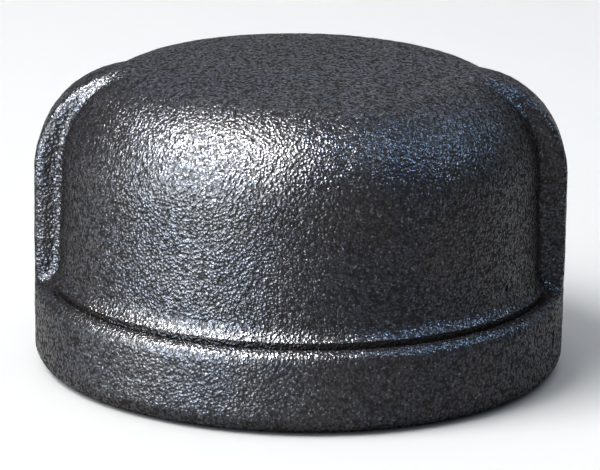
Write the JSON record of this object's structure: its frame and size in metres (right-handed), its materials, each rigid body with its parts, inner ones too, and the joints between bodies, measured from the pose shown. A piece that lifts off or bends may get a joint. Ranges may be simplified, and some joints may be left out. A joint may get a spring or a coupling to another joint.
{
  "type": "pipe cap",
  "caption": "Threaded pipe cap: a domed cast iron end cap with a reinforcing band, wrench ribs and an internal taper pipe thread.",
  "frame": {"origin": "centre of the mouth's face, at the bottom of the cap as it stands on its mouth", "axes": "+Z along the axis of the thread, from the mouth to the crown; the two ribs stand at +X and -X"},
  "size_m": [0.0556, 0.0556, 0.0325],
  "materials": {
    "black_iron": "black sand-cast skin with a grainy satin sheen, bright where the mouth and the thread are machined"
  },
  "bodies": {
    "root": {"cap_casting": "black_iron"}
  },
  "joints": []
}
